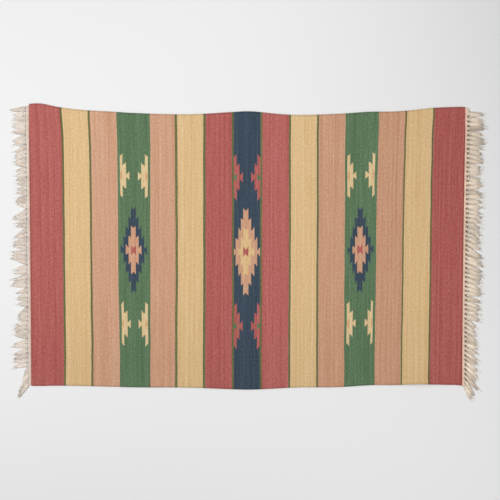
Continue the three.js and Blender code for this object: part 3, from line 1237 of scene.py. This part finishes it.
            # The painted shade of the gap between two knots lies on the outermost warps.
            soil = np.clip(1 - np.abs(out - self.knot_at) / self.knot_gap_shade_reach, 0, 1) * abs(off) * 1.6 * knot_gap_shade
            shade = tone * self.bare + self.draw.normal(0, self.tone_stray[1])
            self.yarns.add(path, radii, shade, stain, soil)
            # The warp of the lower shed lies between this one and the next. It sinks to the floor, and ends
            # under the tassel, a little past the knot.
            out = np.array([*self.lower_reach, self.knot_at + 4.0])
            low = np.zeros((len(out), 3))
            low[:, 0] = start + way * out
            low[:, 1] = y + (off + 0.5 / self.warps) * pitch + self.draw.normal(0, 0.3)
            low[-1, 1] = knot[1] + off * 1.6 * self.waist
            low[:, 2] = self.lower_height
            low[:2, 2] = (height - 0.6, self.lower_height + 0.3)
            stain = np.clip(1 - out / self.bled_length, 0, 1)
            soil = np.clip((out - 3.0) / 3.0, 0, 1) * knot_gap_shade  # painted shade from 3 mm on
            self.yarns.add(low, np.full(len(low), self.lower_radius), tone * self.bare, stain, soil)

    def overhand(self, knot: np.ndarray, tip: np.ndarray, tone: float) -> None:
        """Makes the turns of the overhand knot around the tassel.

        Args:
            knot: The knot's middle.
            tip: The middle of the tassel's tips.
            tone: How light the tassel is.
        """
        ahead, across, _ = level(knot, tip)
        turn = np.linspace(*self.knot_turns, self.knot_sections) * 2 * math.pi + self.draw.uniform(-0.4, 0.4)
        hand = self.side.value
        along = np.linspace(-self.knot_length, self.knot_length, len(turn))
        path = knot + np.outer(along, ahead) + np.outer(np.cos(turn) * self.knot_half * hand, across)
        path[:, 2] = np.maximum(knot[2] + np.sin(turn) * self.knot_rise, self.knot_floor)
        radii = np.full(len(turn), self.knot_radius)
        radii[[0, -1]] = self.knot_tip
        self.yarns.add(path, radii, tone)

    def strands_to(self, knot: np.ndarray, tip: np.ndarray, spread: float, tone: float) -> None:
        """Makes the strands that fall open from the knot and gather again at the tip, and a few loose hairs.

        Args:
            knot: The knot's middle.
            tip: The middle of the tassel's tips.
            spread: Half the width of the tips.
            tone: How light the tassel is.
        """
        ahead, across, length = level(knot, tip)
        sag = self.draw.normal(0, self.bow[0])
        dust = abs(self.draw.normal(0, self.dust))
        share = np.linspace(0, 1, self.sections)
        for layer, (count, breadth) in enumerate(self.layers):
            for k in range(count):
                place = ((k + 0.5) / count * 2 - 1) * breadth
                # Most strands end short of the tip, and a few reach a little past it.
                cut = 1 + 0.3 * self.ragged - abs(self.draw.normal(0.0, self.ragged))
                reach = length * cut - self.rounded * place**2
                aside = place * spread + self.draw.normal(0, self.side_stray[0])
                last = knot + ahead * reach + across * aside
                path = self.falling(knot, last, place, sag, layer, self.sections)
                thick = self.strand_radius * (1 + self.draw.normal(0, self.thick_stray))
                radii = thick * np.ones(self.sections)
                radii[-len(self.strand_taper) :] *= self.strand_taper
                # The painted shade of the gaps runs on down the outer strands of the lowest layer, over the
                # dust.
                soil = dust + (0.0 if layer else 0.6) * abs(place) * (1 - share) * self.knot_gap_shade
                self.yarns.add(path, radii, tone + self.draw.normal(0, self.tone_stray[2]), 0.0, soil)
        for _ in range(self.hairs):
            place = self.draw.uniform(-1, 1)
            reach = length + self.draw.uniform(*self.hair_reach)
            aside = place * spread + self.draw.normal(0, self.side_stray[1])
            last = knot + ahead * reach + across * aside
            path = self.falling(knot, last, place, sag, self.draw.integers(0, 2), self.hair_sections)
            self.yarns.add(path, self.hair_radius * np.linspace(1, 0.6, self.hair_sections), tone)

    def falling(
        self, knot: np.ndarray, last: np.ndarray, place: float, sag: float, layer: int, sections: int
    ) -> np.ndarray:
        """Gives the way of one strand out of the knot and down to the floor.

        Args:
            knot: The knot's middle.
            last: The strand's end.
            place: Where it lies across the tassel, from -1 to 1.
            sag: How far the whole tassel bows to its side.
            layer: How many strands lie under it.
            sections: How many points the way has.

        Returns:
            The points of the strand's middle line.
        """
        ahead, across, length = level(knot, last)
        share = np.linspace(0, 1, sections)
        bow = sag + self.draw.normal(0, self.bow[1])
        (near_at, near_out), (far_at, far_out) = self.bends
        first = knot + across * place * self.waist - ahead
        # A slanting tassel has less room. The power makes it narrower sooner than its slant alone would.
        full = self.fullness * max(abs(ahead[0]) ** 1.2, self.least)
        near = first + ahead * length * near_at + across * (place * (near_out * full - self.waist) + bow)
        far = knot + ahead * length * far_at + across * (place * full * far_out + bow)
        path = bezier(first, near, far, last, share)
        phase = self.draw.uniform(0, 2 * math.pi)
        path += np.outer(self.crimp * np.sin(share * length / self.crimp_length + phase) * share, across)
        # The upper strands sink in towards the tip. All of them leave the knot high up, the outermost ones
        # lower, and soon reach the floor.
        stacked = self.strand_radius * (1 + self.stack * layer * (1 - 0.5 * share**2))
        hung = (knot[2] - 2.2 + 0.5 * layer) * (1 - share) ** 4
        path[:, 2] = np.maximum(stacked + hung * (1 - 0.6 * abs(place)), self.strand_radius)
        return path


def level(start: np.ndarray, end: np.ndarray) -> tuple[np.ndarray, np.ndarray, float]:
    """Gives the level way from one point to another, the way across it, and the distance in plan."""
    ahead = end - start
    length = np.linalg.norm(ahead[:2])
    ahead = np.array([ahead[0], ahead[1], 0.0]) / length
    return ahead, np.array([-ahead[1], ahead[0], 0.0]), length


def bezier(a: np.ndarray, b: np.ndarray, c: np.ndarray, d: np.ndarray, share: np.ndarray) -> np.ndarray:
    """Gives points of a cubic curve.

    Args:
        a: Its start.
        b: The point that it leaves towards.
        c: The point that it arrives from.
        d: Its end.
        share: How far along each wanted point is, from 0 to 1.

    Returns:
        The points.
    """
    q = share[:, None]
    return a * (1 - q) ** 3 + 3 * b * q * (1 - q) ** 2 + 3 * c * q**2 * (1 - q) + d * q**3


# ---- Studio ----


@dataclass(frozen=True)
class SoftBox:
    """A round soft light that faces the rug's middle. Its lengths are metres."""

    name: str
    place: tuple[float, float, float]
    size: float
    power: float  # watts

    def build(self) -> None:
        """Makes the light."""
        light = bpy.data.lights.new(self.name, "AREA")
        light.shape = "DISK"
        light.size = self.size
        light.energy = self.power
        lamp = linked(self.name, light)
        lamp.location = self.place
        lamp.rotation_euler = (-Vector(self.place)).to_track_quat("-Z", "Y").to_euler()
        lamp.visible_camera = False


@dataclass
class Studio:
    """The pale floor, the soft lights and the camera straight above the rug. Its lengths are metres."""

    floor_size: float = 60.0
    view_width: float = 1.6215
    lens: float = 85.0  # millimetres
    sensor: float = 36.0  # millimetres
    aim: tuple[float, float] = (0.0091, 0.0087)
    lamps: tuple[SoftBox, ...] = (
        SoftBox("key", (-2.14, 0.32, 2.58), 2.0, 73.8),
        SoftBox("fill_above", (0.22, 1.18, 1.43), 0.9, 7.49),
        SoftBox("fill_below", (1.02, -1.01, 1.71), 0.9, 14.26),
    )
    sky: float = 0.224

    def build(self) -> None:
        """Makes the floor, the lights and the camera."""
        self.floor()
        for lamp in self.lamps:
            lamp.build()
        self.ambient()
        self.camera()

    def floor(self) -> None:
        """Makes the floor."""
        half = self.floor_size / 2
        mesh = bpy.data.meshes.new("floor")
        corners = [(-half, -half, 0), (half, -half, 0), (half, half, 0), (-half, half, 0)]
        mesh.from_pydata(corners, [], [(0, 1, 2, 3)])
        mesh.materials.append(MattFloor().material())
        floor = linked("floor", mesh)

    def ambient(self) -> None:
        """Makes the even light from all around."""
        world = bpy.data.worlds.new("studio")
        world.use_nodes = True
        background = world.node_tree.nodes["Background"]
        background.inputs["Color"].default_value = (1.0, 1.0, 1.0, 1.0)
        background.inputs["Strength"].default_value = self.sky
        bpy.context.scene.world = world

    def camera(self) -> None:
        """Makes the camera, looking straight down."""
        lens = bpy.data.cameras.new("camera")
        lens.lens = self.lens
        lens.sensor_width = self.sensor
        camera = linked("camera", lens)
        camera.location = (*self.aim, self.view_width * self.lens / self.sensor)
        bpy.context.scene.camera = camera


def main() -> None:
    """Builds the rug and the studio."""
    logging.basicConfig(level=logging.INFO, format="%(name)s: %(message)s")
    lay = Lay()
    cloth = WovenCloth(lay, WeftFacedWeave())
    sheet = cloth.build()
    log.info("%s has %d faces", sheet.name, len(sheet.data.polygons))
    bleached = TwistedCotton("twisted_undyed_cotton")
    aged = TwistedCotton("twisted_aged_cotton", Dye.AGED_COTTON)
    left = KnottedFringe(
        Side.LEFT, "fringe_left", "fringe_left_yarns", lay, cloth, bleached, LEFT_BUNCHES, 465.0, -438.0,
        waist=7.0, knot_half=6.7, knot_height=2.4, knot_rise=0.8, tucked=2.8, knot_gap_shade=0.0,
        lower_radius=2.0, lower_height=2.2, bare=0.845, swing=1.5, ragged=0.13, gather=0.2, hairs=3,
    )
    right = KnottedFringe(
        Side.RIGHT, "fringe_right", "fringe_right_yarns", lay, cloth, aged, RIGHT_BUNCHES, 447.0, -443.0,
        waist=3.4, knot_half=4.0, knot_at=10.5, heading=3.5, fullness=5.6, knot_gap_shade=1.0, bled_length=10.0,
        lower_radius=2.0, lower_height=2.0, corner_warps=True, swing=2.4, ragged=0.18, hairs=7,
    )
    fringes = [left.build(), right.build()]
    for piece in fringes:
        log.info("%s has %d faces", piece.name, len(piece.data.polygons))
    Studio().build()
    bpy.context.scene.view_settings.view_transform = "Standard"


if __name__ == "__main__":
    main()
